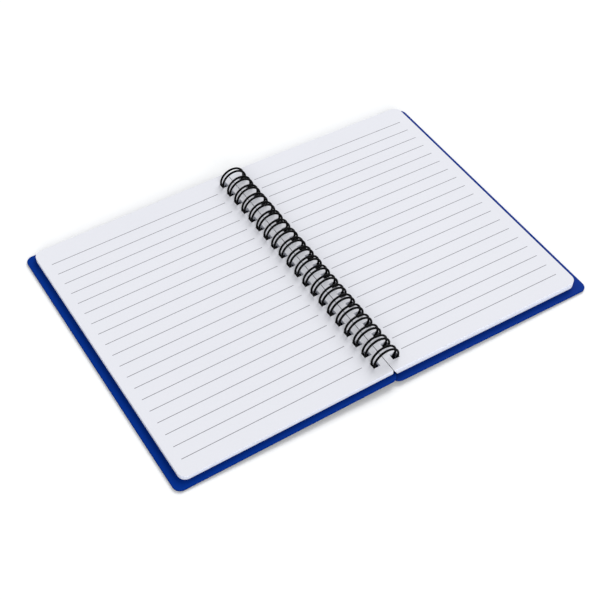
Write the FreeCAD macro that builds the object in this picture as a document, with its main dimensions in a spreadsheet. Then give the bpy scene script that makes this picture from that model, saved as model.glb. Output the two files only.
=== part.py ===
"""Wire-bound notebook, lying open near its middle.

The binding runs along Y, the front cover and the leaves turned with it lie
towards -X, the back cover and the rest of the leaves towards +X, and the
table is z = 0.  Every swinging piece turns about the centre line of the
binding, so each one is drawn level, in a frame whose origin is that line,
and is then tipped until the fore edge of its cover meets the table.
"""
import FreeCAD, Part
import math
import os
import Sketcher

LEFT, RIGHT = -1, 1
TOLERANCE = 0.001

doc = FreeCAD.newDocument("Notebook")
sheet = doc.addObject("Spreadsheet::Sheet", "Sizes")

# Driving sizes, in millimetres
SIZES = [
    ("leaf_width", 127.0),
    ("leaf_height", 177.8),
    ("leaf_corner", 4.5),
    ("front_stack", 3.0),
    ("back_stack", 4.2),
    ("gutter_gap", 0.6),
    ("cover_thickness", 1.2),
    ("fore_overhang", 5.1),
    ("head_overhang", 2.9),
    ("cover_corner", 4.5),
    ("cover_edge_bevel", 0.3),
    ("spine_lap", 1.2),
    ("lap_gap", 0.4),
    ("spine_lift", 1.45),
    ("punch_offset", 1.5),
    ("cover_slip", 0.35),
    ("loop_pitch", 8.4667),
    ("end_margin", 5.0),
    ("ring_radius", 7.75),
    ("wire_diameter", 1.2),
    ("pair_spacing", 2.7),
    ("root_bend", 1.2),
    ("root_angle", 276.0),
    ("seam_gap", 0.6),
    ("hole_clearance", 0.1),
    ("leaf_hole_play", 0.15),
    ("cover_hole_play", 0.5),
]
for row, (alias, value) in enumerate(SIZES, start=1):
    sheet.set(f"A{row}", alias)
    sheet.set(f"B{row}", str(value))
    sheet.setAlias(f"B{row}", alias)
doc.recompute()

# Heights above the table at the spine, and levels below the binding's centre line
RING_HEIGHT = "(Sizes.ring_radius + Sizes.wire_diameter / 2)"
WIRE_RADIUS = "(Sizes.wire_diameter / 2)"
BACK_COVER_LOW = f"(Sizes.spine_lift - {RING_HEIGHT})"
BACK_COVER_TOP = f"({BACK_COVER_LOW} + Sizes.cover_thickness)"
BACK_LEAF_TOP = f"({BACK_COVER_TOP} + Sizes.back_stack)"
FRONT_COVER_LOW = f"({BACK_COVER_TOP} + Sizes.lap_gap)"
FRONT_COVER_TOP = f"({FRONT_COVER_LOW} + Sizes.cover_thickness)"
FRONT_LEAF_TOP = f"({FRONT_COVER_TOP} + Sizes.front_stack)"
SPINE_EDGE = "(Sizes.gutter_gap / 2)"
FORE_EDGE = f"({SPINE_EDGE} + Sizes.leaf_width)"
COVER_REACH = f"({FORE_EDGE} + Sizes.fore_overhang)"
HOLE_WIDTH = "(Sizes.pair_spacing + Sizes.wire_diameter + 2 * Sizes.hole_clearance)"

# As many loops as the leaves have room for, centred on them
PUNCHED_HEIGHT = f"(Sizes.leaf_height - 2 * Sizes.end_margin - {HOLE_WIDTH})"
LOOP_COUNT = f"(floor({PUNCHED_HEIGHT} / Sizes.loop_pitch) + 1)"
ROW_LENGTH = f"(Sizes.loop_pitch * ({LOOP_COUNT} - 1))"
FIRST_LOOP = f"({ROW_LENGTH} / 2)"


def number(expression):
    """Value of a sheet expression as a plain float."""
    value = sheet.evalExpression(expression)
    return float(getattr(value, "Value", value))


def tip_angle(cover_low):
    """Angle that lowers a level cover until its fore edge meets the table."""
    return (f"(asin({RING_HEIGHT} / sqrt({COVER_REACH} ^ 2 + {cover_low} ^ 2))"
            f" - atan(-{cover_low} / {COVER_REACH}))")


def new_body(label):
    body = doc.addObject("PartDesign::Body", label)
    body.Label = label
    return body


def plane(body, role):
    """One of the body's own origin planes."""
    return [(item, [""]) for item in body.Origin.OriginFeatures if item.Role == role]


def new_sketch(body, name, role):
    sketch = body.newObject("Sketcher::SketchObject", name)
    sketch.AttachmentSupport = plane(body, role)
    sketch.MapMode = "FlatFace"
    return sketch


def outline(sketch, corners):
    """Closed outline through corners, each an (across, along) pair of expressions."""
    points = [FreeCAD.Vector(number(a), number(b), 0) for a, b in corners]
    count = len(points)
    for i in range(count):
        sketch.addGeometry(Part.LineSegment(points[i], points[(i + 1) % count]), False)
    for i in range(count):
        sketch.addConstraint(Sketcher.Constraint("Coincident", i, 2, (i + 1) % count, 1))
    for i, (across, along) in enumerate(corners):
        for kind, expression, value in (("DistanceX", across, points[i].x),
                                        ("DistanceY", along, points[i].y)):
            index = sketch.addConstraint(Sketcher.Constraint(kind, -1, 1, i, 1, value))
            sketch.setExpression(f"Constraints[{index}]", expression)


def box_outline(sketch, near, far, low, high):
    outline(sketch, [(near, low), (far, low), (far, high), (near, high)])


def edge_names(shape, wanted):
    return [f"Edge{i}" for i, edge in enumerate(shape.Edges, start=1) if wanted(edge)]


def is_upright(edge):
    box = edge.BoundBox
    return box.ZLength > TOLERANCE and box.XLength < TOLERANCE and box.YLength < TOLERANCE


def is_level(edge):
    return edge.BoundBox.ZLength < TOLERANCE


def dress_edges(body, name, kind, wanted, size):
    """Fillet (size is its Radius) or Chamfer (its Size) on the wanted edges."""
    base = body.Tip
    dressing = body.newObject(f"PartDesign::{kind}", name)
    dressing.Base = (base, edge_names(base.Shape, wanted))
    dressing.setExpression("Radius" if kind == "Fillet" else "Size", size)
    doc.recompute()


def punch(body, name, side, near, far, first_y):
    """Row of square holes, one a loop, down the spine edge of a cover or a stack."""
    before = body.Tip.Shape.Volume
    sketch = new_sketch(body, name + "_outline", "XY_Plane")
    half = f"{HOLE_WIDTH} / 2"
    inner, outer = f"({side} * {near})", f"({side} * {far})"
    box_outline(sketch, inner, outer, f"({first_y} - {half})", f"({first_y} + {half})")
    sketch.Visibility = False
    hole = body.newObject("PartDesign::Pocket", name + "_first")
    hole.Profile = sketch
    hole.Type = "ThroughAll"
    doc.recompute()
    one = before - hole.Shape.Volume
    row_of_holes = body.newObject("PartDesign::LinearPattern", name)
    row_of_holes.Originals = [hole]
    row_of_holes.Direction = (sketch, ["V_Axis"])
    row_of_holes.Reversed = True
    row_of_holes.setExpression("Length", ROW_LENGTH)
    row_of_holes.setExpression("Occurrences", LOOP_COUNT)
    body.Tip = row_of_holes
    doc.recompute()
    cut = before - body.Shape.Volume
    if one < TOLERANCE or round(cut / one) != round(number(LOOP_COUNT)):
        raise RuntimeError(f"{name}: {cut:.2f} cut away, {one:.2f} by the first hole")


def hole_near(level_low, play):
    """Inner end of a hole: the inside of the ring at the piece's underside."""
    reach = f"(Sizes.ring_radius - {WIRE_RADIUS})"
    return f"(sqrt({reach} ^ 2 - {level_low} ^ 2) - {play})"


def hole_far(level_top, play):
    """Outer end of a hole: the outside of the ring at the piece's upper side."""
    reach = f"(Sizes.ring_radius + {WIRE_RADIUS})"
    return f"(sqrt({reach} ^ 2 - {level_top} ^ 2) + {play})"


def place(body, side, cover_low, along):
    """Tip a level body about the binding's centre line and set it at its height."""
    body.Placement = FreeCAD.Placement(FreeCAD.Vector(0, 0, 0),
                                       FreeCAD.Rotation(FreeCAD.Vector(0, 1, 0), 1))
    body.setExpression("Placement.Base.y", along)
    body.setExpression("Placement.Base.z", RING_HEIGHT)
    body.setExpression("Placement.Rotation.Angle", f"{side} * {tip_angle(cover_low)}")


def make_cover(label, side, level_low, slip):
    """Board cover: a rounded plate with its row of holes, reaching past the gutter."""
    body = new_body(label)
    sketch = new_sketch(body, label + "_outline", "XY_Plane")
    sketch.setExpression("AttachmentOffset.Base.z", level_low)
    half = "(Sizes.leaf_height / 2 + Sizes.head_overhang)"
    box_outline(sketch, f"({-side} * Sizes.spine_lap)", f"({side} * {COVER_REACH})",
                f"(-{half})", half)
    board = body.newObject("PartDesign::Pad", label + "_board")
    board.Profile = sketch
    board.setExpression("Length", "Sizes.cover_thickness")
    sketch.Visibility = False
    doc.recompute()
    dress_edges(body, label + "_corners", "Fillet", is_upright, "Sizes.cover_corner")
    dress_edges(body, label + "_edges", "Chamfer", is_level, "Sizes.cover_edge_bevel")
    level_top = f"({level_low} + Sizes.cover_thickness)"
    first_y = f"(Sizes.punch_offset - {slip} + {FIRST_LOOP})"
    punch(body, label + "_holes", side, hole_near(level_low, "Sizes.cover_hole_play"),
          hole_far(level_top, "Sizes.cover_hole_play"), first_y)
    place(body, side, level_low, slip)
    return body


def make_leaves(label, side, cover_low, level_low, level_top, low_spine):
    """Block of leaves: its end view drawn across the spine and run along Y."""
    body = new_body(label)
    sketch = new_sketch(body, label + "_end_view", "XZ_Plane")
    outline(sketch, [(f"({side} * {SPINE_EDGE})", level_top),
                     (f"({side} * {low_spine})", level_low),
                     (f"({side} * {FORE_EDGE})", level_low),
                     (f"({side} * {FORE_EDGE})", level_top)])
    block = body.newObject("PartDesign::Pad", label + "_block")
    block.Profile = sketch
    block.SideType = "Symmetric"
    block.setExpression("Length", "Sizes.leaf_height")
    sketch.Visibility = False
    doc.recompute()
    fore = number(FORE_EDGE) - TOLERANCE
    dress_edges(body, label + "_corners", "Fillet",
                lambda edge: is_upright(edge) and side * edge.BoundBox.Center.x > fore,
                "Sizes.leaf_corner")
    punch(body, label + "_holes", side, hole_near(BACK_COVER_TOP, "Sizes.leaf_hole_play"),
          hole_far(level_top, "Sizes.leaf_hole_play"), FIRST_LOOP)
    place(body, side, cover_low, "Sizes.punch_offset")
    return body


# The slanted spine of the back leaves clears the lap of the front cover
LAP_SLOPE = (f"((Sizes.spine_lap + Sizes.lap_gap - {SPINE_EDGE})"
             f" / ({BACK_LEAF_TOP} - {FRONT_COVER_TOP} - Sizes.lap_gap))")
BACK_LOW_SPINE = f"({SPINE_EDGE} + {LAP_SLOPE} * Sizes.back_stack)"


# The wire: a flat comb of hairpin fingers, wrapped round into rings
CHORDS_PER_FINGER = 18
BEND_STEP = math.radians(45)
SECTION_SIDES = 6


def arc_points(centre, radius, start, sweep):
    """Points along a bend of the flat comb, as (around, along) pairs, end included."""
    steps = round(abs(sweep) / BEND_STEP)
    return [(centre[0] + radius * math.cos(start + sweep * i / steps),
             centre[1] + radius * math.sin(start + sweep * i / steps))
            for i in range(steps + 1)]


def straight_points(start, end, steps):
    """Points strictly between the two ends of a straight stretch."""
    return [(start[0] + (end[0] - start[0]) * i / steps,
             start[1] + (end[1] - start[1]) * i / steps) for i in range(1, steps)]


def comb_path(sizes):
    """Centre line of the flat comb: around is measured from the root of the fingers."""
    half_pair = sizes["pair_spacing"] / 2
    bend = sizes["root_bend"]
    round_the_ring = 2 * math.pi * sizes["ring_radius"]
    tip = round_the_ring - half_pair - sizes["wire_diameter"] - sizes["seam_gap"]
    count = round(number(LOOP_COUNT))
    first = number(FIRST_LOOP)
    path = [(0.0, first + sizes["loop_pitch"] / 2)]
    for loop in range(count):
        middle = first - loop * sizes["loop_pitch"]
        up, down = middle + half_pair, middle - half_pair
        path += arc_points((bend, up + bend), bend, math.pi, math.pi / 2)
        path += straight_points((bend, up), (tip, up), CHORDS_PER_FINGER)
        path += arc_points((tip, middle), half_pair, math.pi / 2, -math.pi)
        path += straight_points((tip, down), (bend, down), CHORDS_PER_FINGER)
        path += arc_points((bend, down - bend), bend, math.pi / 2, math.pi / 2)
    path.append((0.0, -first - sizes["loop_pitch"] / 2))
    return path


def wrap(path, sizes):
    """Roll the flat comb round the centre line of the binding."""
    radius = sizes["ring_radius"]
    root = math.radians(sizes["root_angle"])
    return [FreeCAD.Vector(radius * math.cos(root + around / radius), along,
                           radius * math.sin(root + around / radius))
            for around, along in path]


def section_rings(points, radius):
    """Corners of the wire's section at every point, mitred from one run to the next."""
    runs = [(b - a).normalize() for a, b in zip(points, points[1:])]
    outward = FreeCAD.Vector(points[0].x, 0, points[0].z).normalize()
    sideways = runs[0].cross(outward)
    ring = [points[0] + outward * (radius * math.cos(2 * math.pi * i / SECTION_SIDES))
            + sideways * (radius * math.sin(2 * math.pi * i / SECTION_SIDES))
            for i in range(SECTION_SIDES)]
    rings = [ring]
    for i, run in enumerate(runs):
        mitre = run + runs[i + 1] if i + 1 < len(runs) else run
        target = points[i + 1]
        ring = [corner + run * ((target - corner).dot(mitre) / run.dot(mitre))
                for corner in ring]
        rings.append(ring)
    return rings


def wire_solid(sizes):
    points = wrap(comb_path(sizes), sizes)
    rings = section_rings(points, sizes["wire_diameter"] / 2)
    faces = [Part.Face(Part.makePolygon(ring + ring[:1])) for ring in (rings[0], rings[-1])]
    for ring, after in zip(rings, rings[1:]):
        for i in range(SECTION_SIDES):
            j = (i + 1) % SECTION_SIDES
            side = [ring[i], ring[j], after[j], after[i], ring[i]]
            faces.append(Part.Face(Part.makePolygon(side)))
    skin = Part.makeShell(faces)
    skin.sewShape()
    solid = Part.makeSolid(skin.Shells[0] if skin.Shells else skin)
    if solid.Volume < 0:
        solid.reverse()
    return solid


def make_wire(label):
    sizes = {alias: number(f"Sizes.{alias}") for alias, _ in SIZES}
    wire = doc.addObject("Part::Feature", label)
    wire.Label = label
    wire.Shape = wire_solid(sizes)
    wire.Placement = FreeCAD.Placement()
    wire.setExpression("Placement.Base.y", "Sizes.punch_offset")
    wire.setExpression("Placement.Base.z", RING_HEIGHT)
    return wire


front_cover = make_cover("front_cover", LEFT, FRONT_COVER_LOW, "Sizes.cover_slip")
back_cover = make_cover("back_cover", RIGHT, BACK_COVER_LOW, "(-Sizes.cover_slip)")
left_pages = make_leaves("left_pages", LEFT, FRONT_COVER_LOW, FRONT_COVER_TOP,
                         FRONT_LEAF_TOP, SPINE_EDGE)
right_pages = make_leaves("right_pages", RIGHT, BACK_COVER_LOW, BACK_COVER_TOP,
                          BACK_LEAF_TOP, BACK_LOW_SPINE)
wire_binding = make_wire("wire_binding")
doc.recompute()

nodes = [front_cover, left_pages, wire_binding, right_pages, back_cover]
for item in doc.Objects:
    if "Invalid" in item.State or "Error" in item.State:
        raise RuntimeError(f"{item.Label} failed: {item.State}")
for node in nodes:
    shape = node.Shape
    if shape.isNull() or not shape.isValid() or len(shape.Solids) != 1:
        raise RuntimeError(f"{node.Label} is not one valid solid")

os.makedirs("parts", exist_ok=True)
for node in nodes:
    node.Shape.exportStep(f"parts/{node.Label}.step")
    box = node.Shape.BoundBox
    print(f"{node.Label}: {node.Shape.Volume:.0f} mm3, "
          f"x {box.XMin:.2f} to {box.XMax:.2f}, y {box.YMin:.2f} to {box.YMax:.2f}, "
          f"z {box.ZMin:.2f} to {box.ZMax:.2f}")
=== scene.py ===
"""Looks of the wire-bound notebook: round wire, separate ruled leaves, blue board covers."""

import math
import random

import bpy
from mathutils import Matrix, Vector


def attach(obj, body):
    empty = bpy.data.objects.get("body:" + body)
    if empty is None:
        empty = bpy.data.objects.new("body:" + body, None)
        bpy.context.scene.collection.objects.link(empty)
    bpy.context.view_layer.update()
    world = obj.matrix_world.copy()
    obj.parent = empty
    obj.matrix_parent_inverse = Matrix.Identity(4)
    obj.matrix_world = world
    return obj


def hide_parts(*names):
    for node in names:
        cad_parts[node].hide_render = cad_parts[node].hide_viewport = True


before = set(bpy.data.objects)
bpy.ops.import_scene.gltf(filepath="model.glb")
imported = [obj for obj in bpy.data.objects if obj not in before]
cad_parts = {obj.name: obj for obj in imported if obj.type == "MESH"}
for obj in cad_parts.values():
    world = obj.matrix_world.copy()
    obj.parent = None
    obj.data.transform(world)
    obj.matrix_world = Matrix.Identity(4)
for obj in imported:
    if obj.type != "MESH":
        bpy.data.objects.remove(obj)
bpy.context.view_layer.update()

MM = 0.001
LEFT, RIGHT = -1, 1

# Sizes of the notebook in millimetres, the same as in its CAD source
LEAF_WIDTH = 127.0
LEAF_HEIGHT = 177.8
LEAF_CORNER = 4.5
FRONT_STACK = 3.0
BACK_STACK = 4.2
GUTTER_GAP = 0.6
COVER_THICKNESS = 1.2
FORE_OVERHANG = 5.1
SPINE_LAP = 1.2
LAP_GAP = 0.4
SPINE_LIFT = 1.45
PUNCH_OFFSET = 1.5
LOOP_PITCH = 8.4667
LOOP_COUNT = 20
RING_RADIUS = 7.75
WIRE_RADIUS = 0.6
PAIR_SPACING = 2.7
ROOT_BEND = 1.2
ROOT_ANGLE = 276.0
SEAM_GAP = 0.6
HOLE_CLEARANCE = 0.1
LEAF_HOLE_PLAY = 0.15

# Levels are counted from the rings' centre line, across each half while it lies level
RING_HEIGHT = RING_RADIUS + WIRE_RADIUS
BACK_COVER_LOW = SPINE_LIFT - RING_HEIGHT
BACK_COVER_TOP = BACK_COVER_LOW + COVER_THICKNESS
BACK_LEAF_TOP = BACK_COVER_TOP + BACK_STACK
FRONT_COVER_LOW = BACK_COVER_TOP + LAP_GAP
FRONT_COVER_TOP = FRONT_COVER_LOW + COVER_THICKNESS
FRONT_LEAF_TOP = FRONT_COVER_TOP + FRONT_STACK
SPINE_EDGE = GUTTER_GAP / 2
FORE_EDGE = SPINE_EDGE + LEAF_WIDTH
COVER_REACH = FORE_EDGE + FORE_OVERHANG
HOLE_WIDTH = PAIR_SPACING + 2 * WIRE_RADIUS + 2 * HOLE_CLEARANCE
FIRST_LOOP = LOOP_PITCH * (LOOP_COUNT - 1) / 2
LAP_SLOPE = (SPINE_LAP + LAP_GAP - SPINE_EDGE) / (BACK_LEAF_TOP - FRONT_COVER_TOP - LAP_GAP)
BACK_LOW_SPINE = SPINE_EDGE + LAP_SLOPE * BACK_STACK

# The wire as it is drawn: a little thicker than its flat-sided solid, and round
ROUND_WIRE_RADIUS = 0.64
WIRE_SIDES = 14
FINGER_STEPS = 44
TIP_STEPS = 10
ROOT_STEPS = 5

# The leaves as they are drawn: fewer and thicker than real ones, none quite in line
LEFT_LEAVES = 22
RIGHT_LEAVES = 30
LEFT_SEED = 3
RIGHT_SEED = 5
LEAF_SHARE = 0.94
FORE_SLIP = 0.07
HEAD_SLIP = 0.05
CORNER_STEPS = 10

# Ruling of the leaves in millimetres
RULE_COUNT = 19
HEAD_MARGIN = 13.3
RULE_FIRST = LEAF_HEIGHT / 2 + PUNCH_OFFSET - HEAD_MARGIN
RULE_STEP = 8.565
RULE_LENGTH = 108.2
RULE_THICK = 0.42
RULE_START = {LEFT: 13.4, RIGHT: 12.1}

# Colours
PAPER_LIGHT = (0.765, 0.768, 0.812, 1.0)
PAPER_DARK = (0.725, 0.728, 0.775, 1.0)
# Painted light: the leaves' side faces are paler and bluer than their tops, standing in for light
# on the stack's edges; the two tones follow the leaf layers
PAINTED_LIT_EDGE_PALE = (0.92, 0.94, 1.0, 1.0)
PAINTED_LIT_EDGE_DIM = (0.80, 0.83, 0.94, 1.0)
# Painted shade: the near-black the leaves' side faces take in the gutter and other nooks
EDGE_PAINTED_SHADE = (0.03, 0.03, 0.04, 1.0)
INK = (0.20, 0.20, 0.22, 1.0)
BOARD_LIGHT = (0.0, 0.032, 0.27, 1.0)
BOARD_DARK = (0.0, 0.024, 0.215, 1.0)
# Painted shade: the near-black blue the covers take beside the leaf stacks and down the punched
# holes
BOARD_PAINTED_SHADE = (0.0, 0.0, 0.02, 1.0)
WIRE_LIGHT = (0.005, 0.005, 0.006, 1.0)
WIRE_DARK = (0.002, 0.002, 0.002, 1.0)
FLOOR = (0.96, 0.96, 0.96, 1.0)
SKY = (0.96, 0.98, 1.0, 1.0)
WHITE = (1.0, 1.0, 1.0, 1.0)

# Floor and light: lamps are a direction, the width of the source in degrees and a strength
FLOOR_REACH = 3.0
FLOOR_DROP = 0.0002
KEY_LAMP = ((1.15, 0.85, 1.25), 36.0, 2.0)
FILL_LAMP = ((-0.45, -1.15, 0.62), 40.0, 1.70)
SKY_STRENGTH = 0.45

# Camera at the photograph's angle
CAMERA_AZIMUTH = math.radians(-33.64)
CAMERA_ELEVATION = math.radians(48.55)
CAMERA_ROLL = math.radians(2.05)
CAMERA_TARGET = Vector((-16.18, -19.90, 7.15)) * MM
CAMERA_DISTANCE = 668.1 * MM
CAMERA_LENS = 72.38
CAMERA_SENSOR = 36.0
CAMERA_CLIP = 0.01


def mesh_object(name, vertices, faces, smooth=False):
    mesh = bpy.data.meshes.new(name)
    mesh.from_pydata([tuple(v) for v in vertices], [], faces)
    mesh.validate()
    for polygon in mesh.polygons:
        polygon.use_smooth = smooth
    piece = bpy.data.objects.new(name, mesh)
    bpy.context.scene.collection.objects.link(piece)
    return piece


def arc_points(centre, radius, start, sweep, steps):
    return [(centre[0] + radius * math.cos(start + sweep * i / steps),
             centre[1] + radius * math.sin(start + sweep * i / steps))
            for i in range(steps + 1)]


def straight_points(start, end, steps):
    """Points between two ends, without the ends."""
    return [(start[0] + (end[0] - start[0]) * i / steps,
             start[1] + (end[1] - start[1]) * i / steps) for i in range(1, steps)]


def loop_middle(loop):
    return FIRST_LOOP - loop * LOOP_PITCH


def comb_path():
    """Flat comb of hairpin fingers, as (around, along) pairs, from end to end."""
    half_pair = PAIR_SPACING / 2
    quarter = math.pi / 2
    tip = 2 * math.pi * RING_RADIUS - half_pair - 2 * WIRE_RADIUS - SEAM_GAP
    path = [(0.0, FIRST_LOOP + LOOP_PITCH / 2)]
    for loop in range(LOOP_COUNT):
        middle = loop_middle(loop)
        up, down = middle + half_pair, middle - half_pair
        path += arc_points((ROOT_BEND, up + ROOT_BEND), ROOT_BEND, math.pi, quarter, ROOT_STEPS)
        path += straight_points((ROOT_BEND, up), (tip, up), FINGER_STEPS)
        path += arc_points((tip, middle), half_pair, quarter, -math.pi, TIP_STEPS)
        path += straight_points((tip, down), (ROOT_BEND, down), FINGER_STEPS)
        path += arc_points((ROOT_BEND, down - ROOT_BEND), ROOT_BEND, quarter, quarter, ROOT_STEPS)
    path.append((0.0, -FIRST_LOOP - LOOP_PITCH / 2))
    return path


def make_wire():
    """Round wire along the comb, rolled round the binding's centre line."""
    root = math.radians(ROOT_ANGLE)
    radius = RING_HEIGHT - ROUND_WIRE_RADIUS
    points = []
    for around, along in comb_path():
        angle = root + around / RING_RADIUS
        points.append(Vector((radius * math.cos(angle), along + PUNCH_OFFSET,
                              RING_HEIGHT + radius * math.sin(angle))) * MM)
    axis = Vector((0.0, 0.0, RING_HEIGHT * MM))
    vertices, faces = [], []
    last = len(points) - 1
    for i, point in enumerate(points):
        run = (points[min(i + 1, last)] - points[max(i - 1, 0)]).normalized()
        outward = Vector((point.x - axis.x, 0.0, point.z - axis.z)).normalized()
        outward = (outward - run * outward.dot(run)).normalized()
        sideways = run.cross(outward)
        for k in range(WIRE_SIDES):
            turn = 2 * math.pi * k / WIRE_SIDES
            vertices.append(point + (outward * math.cos(turn) + sideways * math.sin(turn))
                            * (ROUND_WIRE_RADIUS * MM))
    for i in range(last):
        for k in range(WIRE_SIDES):
            a = i * WIRE_SIDES + k
            b = i * WIRE_SIDES + (k + 1) % WIRE_SIDES
            faces.append((a, a + WIRE_SIDES, b + WIRE_SIDES, b))
    faces.append(tuple(range(WIRE_SIDES)))
    faces.append(tuple(range((last + 1) * WIRE_SIDES - 1, last * WIRE_SIDES - 1, -1)))
    return mesh_object("binding_wire", vertices, faces, smooth=True)


def tip_angle(cover_low):
    """Angle that lowers a level cover until its fore edge meets the table."""
    return (math.asin(RING_HEIGHT / math.hypot(COVER_REACH, cover_low))
            - math.atan(-cover_low / COVER_REACH))


def leaf_outline(side, spine, slip):
    """Outline of one leaf: square at the spine, round at the fore edge."""
    half = LEAF_HEIGHT / 2
    inner = FORE_EDGE + slip - LEAF_CORNER
    quarter = math.pi / 2
    points = [(spine, -half)]
    points += arc_points((inner, -half + LEAF_CORNER), LEAF_CORNER, -quarter, quarter, CORNER_STEPS)
    points += arc_points((inner, half - LEAF_CORNER), LEAF_CORNER, 0.0, quarter, CORNER_STEPS)
    points.append((spine, half))
    return [(side * x * MM, y * MM) for x, y in points]


def hole_outline(side, near, far, middle):
    """Outline of one punched hole, from its spine side to its fore side."""
    half = HOLE_WIDTH / 2
    corners = [(near, middle - half), (far, middle - half),
               (far, middle + half), (near, middle + half)]
    return [(side * x * MM, y * MM) for x, y in corners]


def hole_near(level):
    """How far from the centre line a hole starts, to let the ring pass at its lowest level."""
    return math.sqrt((RING_RADIUS - WIRE_RADIUS) ** 2 - level ** 2) - LEAF_HOLE_PLAY


def hole_far(level):
    """How far from the centre line a hole ends, to let the ring pass at its highest level."""
    return math.sqrt((RING_RADIUS + WIRE_RADIUS) ** 2 - level ** 2) + LEAF_HOLE_PLAY


def filled_plate(outlines, thick):
    """Vertices and faces of a flat plate with the first outline less the others."""
    curve = bpy.data.curves.new("plate", "CURVE")
    curve.dimensions = "2D"
    curve.fill_mode = "BOTH"
    curve.extrude = thick / 2
    for points in outlines:
        spline = curve.splines.new("POLY")
        spline.points.add(len(points) - 1)
        for point, (x, y) in zip(spline.points, points):
            point.co = (x, y, 0.0, 1.0)
        spline.use_cyclic_u = True
    holder = bpy.data.objects.new("plate", curve)
    mesh = bpy.data.meshes.new_from_object(holder)
    vertices = [vertex.co.copy() for vertex in mesh.vertices]
    faces = [tuple(polygon.vertices) for polygon in mesh.polygons]
    bpy.data.meshes.remove(mesh)
    bpy.data.objects.remove(holder)
    bpy.data.curves.remove(curve)
    return vertices, faces


def make_leaves(name, side, cover_low, level_low, level_top, low_spine, count, seed):
    """Stack of thin leaves whose edges are a little out of line with each other."""
    rng = random.Random(seed)
    near = hole_near(BACK_COVER_TOP)
    far = hole_far(level_top)
    step = (level_top - level_low) / count
    vertices, faces = [], []
    for leaf in range(count):
        on_top = leaf == count - 1
        spine = low_spine + (SPINE_EDGE - low_spine) * leaf / (count - 1)
        slip = 0.0 if on_top else -rng.uniform(0.0, FORE_SLIP)
        short = 0.0 if on_top else abs(rng.uniform(-HEAD_SLIP, HEAD_SLIP))
        outlines = [leaf_outline(side, spine, slip)]
        outlines += [hole_outline(side, near, far, loop_middle(loop))
                     for loop in range(LOOP_COUNT)]
        plate, plate_faces = filled_plate(outlines, step * MM * LEAF_SHARE)
        level = (level_low + step * (leaf + 0.5)) * MM
        trim = 1.0 - short / LEAF_HEIGHT
        start = len(vertices)
        vertices += [Vector((v.x, v.y * trim, v.z + level)) for v in plate]
        faces += [tuple(start + index for index in face) for face in plate_faces]
    place = (Matrix.Translation(Vector((0.0, PUNCH_OFFSET, RING_HEIGHT)) * MM)
             @ Matrix.Rotation(side * tip_angle(cover_low), 4, "Y"))
    return mesh_object(name, [place @ vertex for vertex in vertices], faces)


class Nodes:
    """A material's node tree with short ways to add and join nodes."""

    def __init__(self, name):
        self.material = bpy.data.materials.new(name)
        self.material.use_nodes = True
        self.tree = self.material.node_tree
        self.shader = self.tree.nodes["Principled BSDF"]

    def new(self, kind, **settings):
        node = self.tree.nodes.new(kind)
        for key, value in settings.items():
            setattr(node, key, value)
        return node

    def join(self, output, target):
        self.tree.links.new(output, target)

    def feed(self, target, source):
        """Join a socket, or set a plain value on it."""
        if isinstance(source, bpy.types.NodeSocket):
            self.join(source, target)
        else:
            target.default_value = source

    def set(self, **values):
        """Set plain values on the shader; an underscore in a name stands for a space."""
        for key, value in values.items():
            self.shader.inputs[key.replace("_", " ")].default_value = value

    def math(self, operation, first, second=0.0, third=0.0):
        node = self.new("ShaderNodeMath", operation=operation)
        for socket, source in zip(node.inputs, (first, second, third)):
            self.feed(socket, source)
        return node.outputs[0]

    def mix(self, factor, first, second):
        node = self.new("ShaderNodeMix", data_type="RGBA")
        self.feed(node.inputs[0], factor)
        self.feed(node.inputs[6], first)
        self.feed(node.inputs[7], second)
        return node.outputs[2]

    def place(self):
        """Where a point lies in the object, in metres."""
        return self.new("ShaderNodeTexCoord").outputs["Object"]

    def noise(self, vector, scale, detail=3.0, roughness=0.5):
        node = self.new("ShaderNodeTexNoise")
        self.join(vector, node.inputs["Vector"])
        node.inputs["Scale"].default_value = scale
        node.inputs["Detail"].default_value = detail
        node.inputs["Roughness"].default_value = roughness
        return node.outputs["Fac"]

    def stretched(self, vector, scale):
        node = self.new("ShaderNodeMapping")
        self.join(vector, node.inputs["Vector"])
        node.inputs["Scale"].default_value = scale
        return node.outputs["Vector"]

    def open_air(self, distance, gain):
        """How open a point is, from 0 in a nook, before any limit at 1; the materials paint shade
        into nooks with it.
        """
        node = self.new("ShaderNodeAmbientOcclusion")
        node.inputs["Distance"].default_value = distance
        return self.math("MULTIPLY", node.outputs["AO"], gain)

    def bump(self, height, strength, distance):
        node = self.new("ShaderNodeBump")
        self.join(height, node.inputs["Height"])
        node.inputs["Strength"].default_value = strength
        node.inputs["Distance"].default_value = distance
        self.join(node.outputs["Normal"], self.shader.inputs["Normal"])


def ruled_mask(nodes, place, side, on_top):
    """1 on the printed rules of a page's upper face, and 0 elsewhere."""
    split = nodes.new("ShaderNodeSeparateXYZ")
    nodes.join(place, split.inputs[0])
    down_page = nodes.math("SUBTRACT", RULE_FIRST * MM, split.outputs["Y"])
    steps = nodes.math("DIVIDE", down_page, RULE_STEP * MM)
    nearest = nodes.math("ROUND", steps)
    apart = nodes.math("ABSOLUTE", nodes.math("SUBTRACT", steps, nearest))
    on_rule = nodes.math("LESS_THAN", nodes.math("MULTIPLY", apart, RULE_STEP * MM),
                         RULE_THICK * MM / 2)
    from_first = nodes.math("GREATER_THAN", nearest, -0.5)
    to_last = nodes.math("LESS_THAN", nearest, RULE_COUNT - 0.5)
    across = nodes.math("MULTIPLY", split.outputs["X"], float(side))
    start = RULE_START[side] * MM
    past_start = nodes.math("GREATER_THAN", across, start)
    before_end = nodes.math("LESS_THAN", across, start + RULE_LENGTH * MM)
    mask = on_top
    for test in (on_rule, from_first, to_last, past_start, before_end):
        mask = nodes.math("MULTIPLY", mask, test)
    return mask


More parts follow.
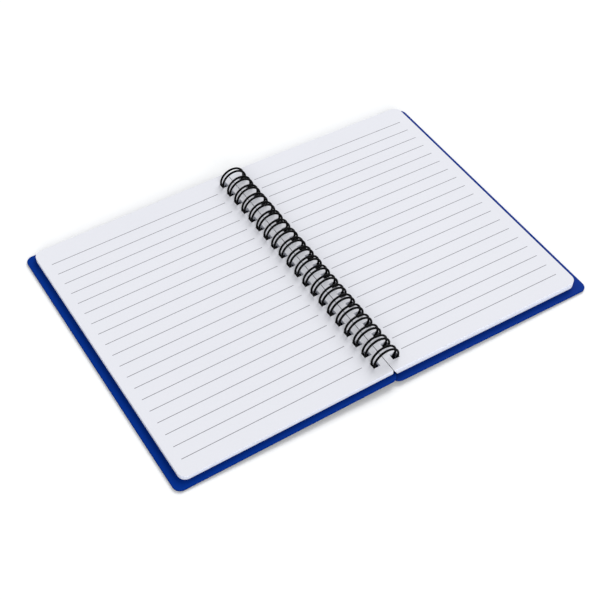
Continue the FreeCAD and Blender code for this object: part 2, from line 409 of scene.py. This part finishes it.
def paper_material(name, side):
    nodes = Nodes(name)
    nodes.set(Roughness=0.85, Specular_IOR_Level=0.1)
    place = nodes.place()
    facing = nodes.new("ShaderNodeSeparateXYZ")
    nodes.join(nodes.new("ShaderNodeTexCoord").outputs["Normal"], facing.inputs[0])
    on_top = nodes.math("GREATER_THAN", facing.outputs["Z"], 0.7)

    fibre = nodes.noise(place, 900.0, 4.0, 0.6)
    cloud = nodes.noise(place, 18.0, 2.0)
    shade = nodes.math("MULTIPLY_ADD", cloud, 0.6, nodes.math("MULTIPLY", fibre, 0.4))
    sheet = nodes.mix(shade, PAPER_DARK, PAPER_LIGHT)

    # Side faces: leaf layers between two tones, both painted light, paler than the page tops
    layer = nodes.noise(nodes.stretched(place, (6.0, 6.0, 2600.0)), 1.0, 2.0, 0.6)
    # Painted shade: the side faces darken towards near-black in the gutter and other nooks, by
    # ambient occlusion
    light = nodes.math("MINIMUM", nodes.open_air(0.003, 1.9), 1.0)
    edge = nodes.mix(light, EDGE_PAINTED_SHADE, nodes.mix(layer, PAINTED_LIT_EDGE_DIM, PAINTED_LIT_EDGE_PALE))
    body = nodes.mix(on_top, edge, sheet)

    ruled = ruled_mask(nodes, place, side, on_top)
    ink = nodes.math("MULTIPLY", ruled, nodes.math("MULTIPLY_ADD", fibre, 0.25, 0.82))
    nodes.join(nodes.mix(ink, body, INK), nodes.shader.inputs["Base Color"])
    nodes.bump(fibre, 0.12, 0.00004)
    return nodes.material


def board_material():
    nodes = Nodes("cover_board")
    nodes.set(Specular_IOR_Level=0.02)
    place = nodes.place()
    grain = nodes.noise(place, 1400.0, 3.0, 0.55)
    cloud = nodes.noise(place, 25.0, 2.0)
    # Painted shade: the board darkens beside the leaf stacks and in the holes, by ambient occlusion
    light = nodes.math("SMOOTH_MIN", nodes.open_air(0.010, 1.02), 1.0, 0.1)
    blue = nodes.mix(cloud, BOARD_DARK, BOARD_LIGHT)
    nodes.join(nodes.mix(light, BOARD_PAINTED_SHADE, blue), nodes.shader.inputs["Base Color"])
    nodes.join(nodes.math("MULTIPLY_ADD", grain, 0.14, 0.40), nodes.shader.inputs["Roughness"])
    nodes.bump(grain, 0.18, 0.00006)
    return nodes.material


def wire_material():
    nodes = Nodes("binding_wire")
    nodes.set(IOR=1.3, Specular_IOR_Level=0.045)
    grain = nodes.noise(nodes.place(), 700.0)
    nodes.join(nodes.mix(grain, WIRE_DARK, WIRE_LIGHT), nodes.shader.inputs["Base Color"])
    nodes.join(nodes.math("MULTIPLY_ADD", grain, 0.08, 0.12), nodes.shader.inputs["Roughness"])
    nodes.bump(grain, 0.08, 0.00003)
    return nodes.material


def floor_material():
    nodes = Nodes("floor")
    nodes.set(Base_Color=FLOOR, Roughness=0.9, Specular_IOR_Level=0.0)
    return nodes.material


def soft_light(name, towards, spread, strength):
    """Even studio light from one side; spread is how wide its source looks, in degrees."""
    light = bpy.data.lights.new(name, "SUN")
    light.angle = math.radians(spread)
    light.energy = strength
    lamp = bpy.data.objects.new(name, light)
    lamp.rotation_euler = Vector(towards).to_track_quat("Z", "Y").to_euler()
    bpy.context.scene.collection.objects.link(lamp)


def studio_world():
    """Soft pale sky on the object, and plain white where the eye looks past it."""
    world = bpy.data.worlds.new("studio")
    bpy.context.scene.world = world
    world.use_nodes = True
    nodes, links = world.node_tree.nodes, world.node_tree.links
    nodes.clear()
    rays = nodes.new("ShaderNodeLightPath")
    seen = rays.outputs["Is Camera Ray"]
    for kind in ("Is Transmission Ray", "Is Glossy Ray"):
        either = nodes.new("ShaderNodeMath")
        either.operation = "MAXIMUM"
        links.new(seen, either.inputs[0])
        links.new(rays.outputs[kind], either.inputs[1])
        seen = either.outputs[0]
    choose = nodes.new("ShaderNodeMixShader")
    links.new(seen, choose.inputs[0])
    for socket, colour, strength in ((1, SKY, SKY_STRENGTH), (2, WHITE, 1.0)):
        background = nodes.new("ShaderNodeBackground")
        background.inputs["Color"].default_value = colour
        background.inputs["Strength"].default_value = strength
        links.new(background.outputs[0], choose.inputs[socket])
    output = nodes.new("ShaderNodeOutputWorld")
    links.new(choose.outputs[0], output.inputs[0])


def photo_camera():
    flat = math.cos(CAMERA_ELEVATION)
    back = Vector((math.sin(CAMERA_AZIMUTH) * flat, -math.cos(CAMERA_AZIMUTH) * flat,
                   math.sin(CAMERA_ELEVATION)))
    level_right = (-back).cross(Vector((0.0, 0.0, 1.0))).normalized()
    level_up = level_right.cross(-back)
    right = level_right * math.cos(CAMERA_ROLL) + level_up * math.sin(CAMERA_ROLL)
    up = level_up * math.cos(CAMERA_ROLL) - level_right * math.sin(CAMERA_ROLL)
    eye = CAMERA_TARGET + back * CAMERA_DISTANCE
    data = bpy.data.cameras.new("camera")
    data.sensor_width = CAMERA_SENSOR
    data.lens = CAMERA_LENS
    data.clip_start = CAMERA_CLIP
    camera = bpy.data.objects.new("camera", data)
    camera.matrix_world = Matrix(((right.x, up.x, back.x, eye.x),
                                  (right.y, up.y, back.y, eye.y),
                                  (right.z, up.z, back.z, eye.z),
                                  (0.0, 0.0, 0.0, 1.0)))
    bpy.context.scene.collection.objects.link(camera)
    bpy.context.scene.camera = camera


# The wire and the leaves
wire = make_wire()
left_leaves = make_leaves("left_leaves", LEFT, FRONT_COVER_LOW, FRONT_COVER_TOP,
                          FRONT_LEAF_TOP, SPINE_EDGE, LEFT_LEAVES, LEFT_SEED)
right_leaves = make_leaves("right_leaves", RIGHT, BACK_COVER_LOW, BACK_COVER_TOP,
                           BACK_LEAF_TOP, BACK_LOW_SPINE, RIGHT_LEAVES, RIGHT_SEED)

for piece, body, node, slot, material in (
        (wire, "back_half", "wire_binding", "binding_wire", wire_material()),
        (left_leaves, "front_half", "left_pages", "ruled_paper",
         paper_material("left_paper", LEFT)),
        (right_leaves, "back_half", "right_pages", "ruled_paper",
         paper_material("right_paper", RIGHT))):
    piece.data.materials.append(material)
    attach(piece, body)
    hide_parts(node)

# The covers are the CAD's own
board = board_material()
for node in ("front_cover", "back_cover"):
    for slot in bpy.data.objects[node].material_slots:
        slot.material = board

# Floor, light and camera
corners = [(-FLOOR_REACH, -FLOOR_REACH, 0), (FLOOR_REACH, -FLOOR_REACH, 0),
           (FLOOR_REACH, FLOOR_REACH, 0), (-FLOOR_REACH, FLOOR_REACH, 0)]
floor = mesh_object("floor", corners, [(0, 1, 2, 3)])
floor.data.materials.append(floor_material())
floor.location.z = -FLOOR_DROP

soft_light("key", *KEY_LAMP)
soft_light("fill", *FILL_LAMP)
studio_world()
photo_camera()
bpy.context.scene.view_settings.view_transform = "Standard"
